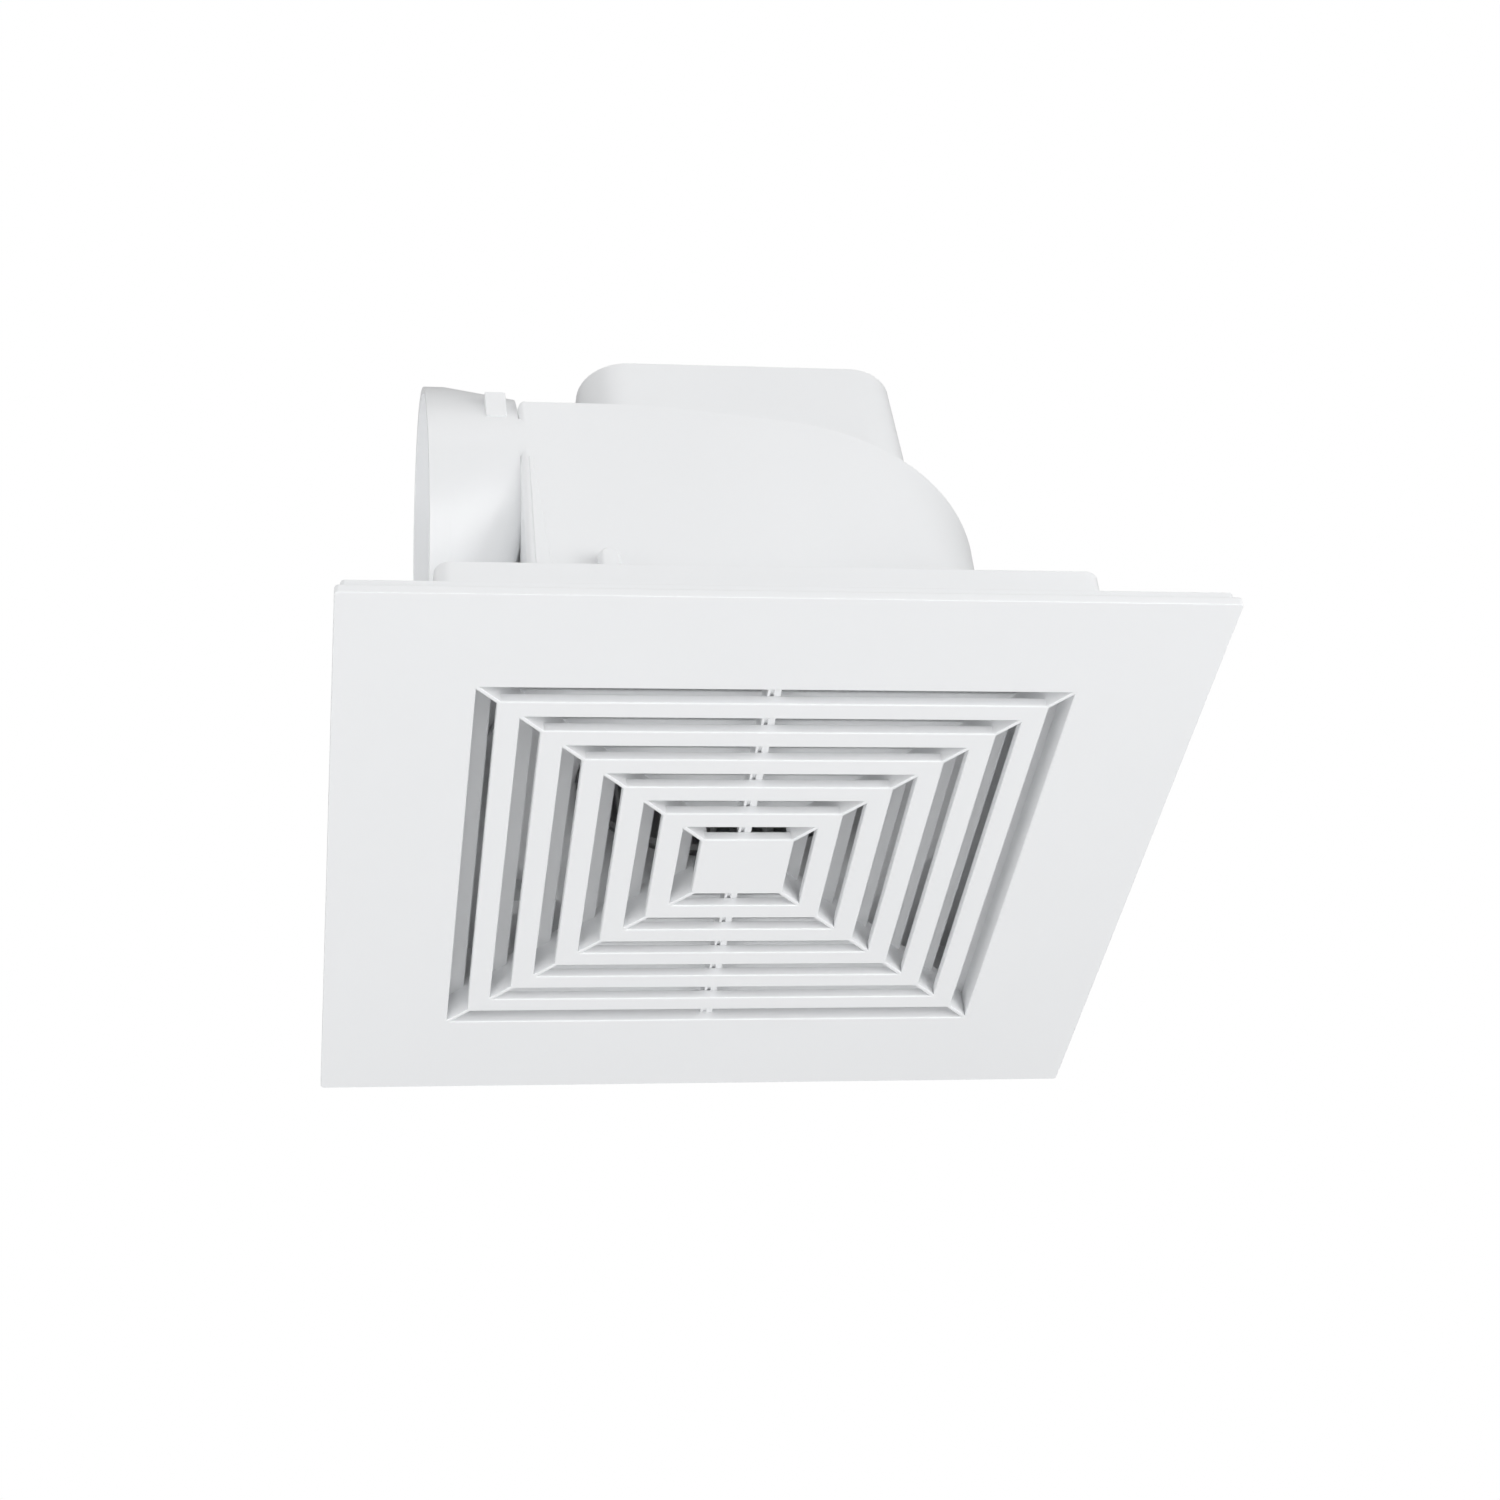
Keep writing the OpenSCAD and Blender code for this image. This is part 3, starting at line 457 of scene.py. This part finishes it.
def build_panel():
    bm = bmesh.new()
    edge = 0.45
    # outer frame: face, rounded outer edge, raised rim behind it, wall round the field
    prof = (arc_pts(FIELD + edge, edge, edge, 180, 270, 4)
            + arc_pts(PANEL - 0.3, 0.3, 0.3, 270, 360, 4)
            + arc_pts(PANEL - 0.45, RIM - 0.45, 0.45, 0, 90, 3)
            + arc_pts(PANEL - 2.5 + 0.3, RIM - 0.3, 0.3, 90, 180, 2)
            + [(PANEL - 2.5, FACE_T + 0.25), (PANEL - 2.7, FACE_T)]
            + [(FIELD + 1.8, FACE_T), (FIELD + 1.5, FACE_T + 0.3)]
            + arc_pts(FIELD + 1.5 - 0.3, WALL_TOP - 0.3, 0.3, 0, 90, 2)
            + arc_pts(FIELD + 0.3, WALL_TOP - 0.3, 0.3, 90, 180, 2)[:2]
            + [(FIELD, WALL_TOP - 0.3)])
    sweep_square(bm, prof, lambda h: 1.2 if h > 116 else 0.35)
    for k in range(5):
        out = FIELD - SLOTW - k * PITCH
        sweep_square(bm, ring_profile(out - (PITCH - SLOTW), out, 0.0, RING_T, edge, 0.3), lambda h: 0.35)
    for k in range(6):
        out = FIELD + 0.6 - k * PITCH
        if k == 0:
            out = FIELD + 0.3
        sweep_square(bm, ring_profile(FIELD + 0.6 - k * PITCH - 5.9, out, STRIP_Z, STRIP_Z + STRIP_T, 0.5, 0.3), lambda h: 0.5)
    # centre plate: a lofted pillow with rounded edges, left bare
    c = FIELD - 5 * PITCH - SLOTW
    rings = []
    for half, z in arc_pts(c - edge, edge, edge, 270, 360, 4) + arc_pts(c - 0.3, RING_T - 0.3, 0.3, 0, 90, 2):
        rings.append([bm.verts.new(p) for p in square_loop(half, 0.35, z)])
    for a, b in zip(rings, rings[1:]):
        for j in range(len(a)):
            bm.faces.new((a[j], a[(j + 1) % len(a)], b[(j + 1) % len(a)], b[j]))
    bm.faces.new(rings[0])
    bm.faces.new(rings[-1])
    # diagonal webs
    for q in range(4):
        turn = Matrix.Rotation(math.radians(45 + 90 * q), 4, "Z")
        round_box(bm, 17.0, FIELD * math.sqrt(2) + 1.2, -0.6, 0.6, 0.05, 12.0, 0.22, 3, turn)
    # ribs across the middle of the near and far sides
    for s in (-1, 1):
        y0, y1 = (12.5, FIELD + 1.2) if s > 0 else (-FIELD - 1.2, -12.5)
        round_box(bm, -0.9, 1.1, y0, y1, RING_T - 0.2, STRIP_Z + STRIP_T + 0.8, 0.2, 2)
        round_box(bm, -2.7, -1.9, y0, y1, RING_T - 0.2, STRIP_Z + 0.4, 0.15, 2)
        round_box(bm, -2.0, -0.8, y0, y1, RING_T + 0.5, STRIP_Z + 0.3, 0.1, 1)
    # spring lugs and centring tabs
    for s in (-1, 1):
        for t in (-1, 1):
            round_box(bm, s * 87 - 2.2, s * 87 + 2.2, t * 8 - 1.5, t * 8 + 1.5, FACE_T - 0.2, 6.0, 0.4, 3)
    for q in range(4):
        turn = Matrix.Rotation(math.radians(90 * q), 4, "Z")
        for t in (-1, 1):
            round_box(bm, 88.4, 89.8, t * 62 - 8, t * 62 + 8, FACE_T - 0.2, 9.0, 0.4, 3, turn)
    return finish_piece(bm, "grille_panel_fine", "grille_panel", 50.0)


build_panel()
SEAM_X, SEAM_R, DUCT_Y, DUCT_Z, ROOT_X = -86.6, 50.0, -35.6, 87.1, -66.9


def off_axis(co):
    return math.hypot(co.y / MM - DUCT_Y, co.z / MM - DUCT_Z)


def smooth_seam(bm):
    """Brings the seam between the spigot's collar and its shoulder onto one circle, and closes the root on the casing."""
    ring = [v for v in bm.verts if abs(v.co.x / MM - SEAM_X) < 0.15 and abs(off_axis(v.co) - SEAM_R) < 0.22]
    for v in ring:
        k = SEAM_R / off_axis(v.co)
        v.co = Vector((SEAM_X, DUCT_Y + (v.co.y / MM - DUCT_Y) * k, DUCT_Z + (v.co.z / MM - DUCT_Z) * k)) * MM
    for v in bm.verts:
        if abs(v.co.x / MM - ROOT_X) < 0.03:
            v.co.x = (ROOT_X + 0.11) * MM
    bmesh.ops.remove_doubles(bm, verts=ring, dist=0.3 * MM)


def on_seam(e):
    return all(abs(v.co.x / MM - SEAM_X) < 0.06 and abs(off_axis(v.co) - SEAM_R) < 0.3 for v in e.verts)


def on_root(e):
    return all(v.co.x / MM > ROOT_X - 0.05 and v.co.x / MM < -66.7 and v.co.y / MM < -19
               and (v.co.z / MM > 56 or v.co.y / MM < -86) for v in e.verts)


def lug_cap(bm):
    """The square lug's clean face, standing a little proud of the shoulder."""
    round_box(bm, -75.93, -70.02, -85.45, -75.92, 97.32, 106.68, 0.3)
    # web that closes the rounded corner of the outlet where the shoulder runs flush into the near wall
    rows = []
    for z, xr in ((81.8, -66.6), (83.0, -65.6), (85.0, -64.86), (87.0, -64.86), (89.0, -64.86), (91.0, -64.86), (93.0, -64.86),
                  (94.6, -65.3), (96.0, -66.2)):
        left = Vector((-67.4, -53.1 - math.sqrt(33.1 ** 2 - (z - 89) ** 2) + 0.01, z)) * MM
        right = Vector((xr, -84.2 - math.sqrt(max(4.0 - (xr + 64.8) ** 2, 0.0)), z)) * MM
        deep = Vector((-66.4, -84.4, z)) * MM
        rows.append([bm.verts.new(p) for p in (left, right, deep)])
    for a, b in zip(rows, rows[1:]):
        for j in range(3):
            bm.faces.new((a[j], a[(j + 1) % 3], b[(j + 1) % 3], b[j]))
    bm.faces.new(rows[0])
    bm.faces.new(rows[-1])


refine("housing_box", 0.35)
refine("volute_casing", 0.35, keep=lambda e: not on_root(e))
refine("duct_adaptor", 0.3, tweak=smooth_seam, soft=on_seam, keep=lambda e: not on_seam(e) and not on_root(e), extra=lug_cap)
refine("motor_cover", 0.3)
refine("inlet_ring", 0.25)
refine("terminal_box", 0.25)
refine("terminal_lid", 0.3)

# ---------------------------------------------------------------- stage and lights
floor_mesh = bpy.data.meshes.new("studio_floor")
bm = bmesh.new()
bmesh.ops.create_grid(bm, x_segments=1, y_segments=1, size=8.0)
bm.to_mesh(floor_mesh)
bm.free()
floor = bpy.data.objects.new("studio_floor", floor_mesh)
floor.location = (0, 0, -1.45)
scene.collection.objects.link(floor)
fm = Mat("studio_floor")
fm.link(fm.mix(fm.ramp(fm.noise(2.0), 0, 1), (0.93, 0.93, 0.935, 1), (0.95, 0.95, 0.955, 1)), fm.bsdf.inputs["Base Color"])
fm.bsdf.inputs["Roughness"].default_value = 0.9
floor_mesh.materials.append(fm.m)

# The backdrop is seen as plain white; the surroundings that light the object are soft lobes along +X, -X, +Y and +Z,
# with none downwards, where the floor gives back what falls on it.
LOBES = {"+X": 0.31, "-X": 0.67, "+Y": 0.1, "+Z": 0.4}
world = bpy.data.worlds.new("studio")
scene.world = world
world.use_nodes = True
wt = world.node_tree
bg = wt.nodes["Background"]
geo = wt.nodes.new("ShaderNodeTexCoord")
sepv = wt.nodes.new("ShaderNodeSeparateXYZ")
wt.links.new(geo.outputs["Generated"], sepv.inputs["Vector"])
LOBE_NODES = {}
total = None
for key, amount in LOBES.items():
    axis, sign = key[1], (1 if key[0] == "+" else -1)
    m1 = wt.nodes.new("ShaderNodeMath")
    m1.operation = "MULTIPLY"
    m1.inputs[1].default_value = sign
    wt.links.new(sepv.outputs[axis], m1.inputs[0])
    m2 = wt.nodes.new("ShaderNodeMath")
    m2.operation = "MAXIMUM"
    m2.inputs[1].default_value = 0.0
    wt.links.new(m1.outputs[0], m2.inputs[0])
    m3 = wt.nodes.new("ShaderNodeMath")
    m3.operation = "POWER"
    m3.inputs[1].default_value = 2.0
    wt.links.new(m2.outputs[0], m3.inputs[0])
    m4 = wt.nodes.new("ShaderNodeMath")
    m4.operation = "MULTIPLY"
    m4.inputs[1].default_value = amount
    wt.links.new(m3.outputs[0], m4.inputs[0])
    LOBE_NODES[key] = m4
    if total is None:
        total = m4.outputs[0]
    else:
        add = wt.nodes.new("ShaderNodeMath")
        add.operation = "ADD"
        wt.links.new(total, add.inputs[0])
        wt.links.new(m4.outputs[0], add.inputs[1])
        total = add.outputs[0]
bg.inputs["Color"].default_value = (1.0, 1.0, 1.0, 1)
wt.links.new(total, bg.inputs["Strength"])
white = wt.nodes.new("ShaderNodeBackground")
white.inputs["Color"].default_value = (1.0, 1.0, 1.0, 1)
white.inputs["Strength"].default_value = 1.0
path = wt.nodes.new("ShaderNodeLightPath")
pick = wt.nodes.new("ShaderNodeMixShader")
wt.links.new(path.outputs["Is Camera Ray"], pick.inputs["Fac"])
wt.links.new(bg.outputs["Background"], pick.inputs[1])
wt.links.new(white.outputs["Background"], pick.inputs[2])
wt.links.new(pick.outputs["Shader"], wt.nodes["World Output"].inputs["Surface"])


def area(name, loc, target, size, power, color=(1, 1, 1), size_y=None):
    d = bpy.data.lights.new(name, "AREA")
    d.energy = power
    d.color = color
    d.size = size
    if size_y:
        d.shape = "RECTANGLE"
        d.size_y = size_y
    o = bpy.data.objects.new(name, d)
    scene.collection.objects.link(o)
    o.location = loc
    o.rotation_euler = (Vector(target) - Vector(loc)).to_track_quat("-Z", "Y").to_euler()
    return o


area("back_left_softbox", (-1.094, 0.511, -0.803), (0, 0, 0.03), 0.8, 2.8)
area("front_softbox", (0.145, -1.376, -0.435), (0, 0, 0.03), 0.8, 4.2)
area("right_softbox", (1.1, -0.75, -0.35), (0, 0, 0.05), 0.9, 7.0)
area("right_front", (0.796, -1.157, -0.362), (0, 0, 0.03), 0.8, 2.8)
area("right_low", (0.95, 0.0, -1.0), (0, 0, 0.02), 0.7, 2.7)
area("left_softbox", (-1.2, -0.5, -0.2), (0, 0, 0.05), 0.9, 3.4)
area("left_low", (-0.95, 0.0, -1.0), (0, 0, 0.02), 0.7, 3.2)
area("front_high", (0.28, -1.2, 0.95), (0, 0, 0.05), 0.9, 1.3)
area("top_front", (-0.25, -0.8, 1.25), (-0.04, 0, 0.08), 0.9, 3.0)

scene.view_settings.view_transform = "Standard"
scene.view_settings.look = "None"
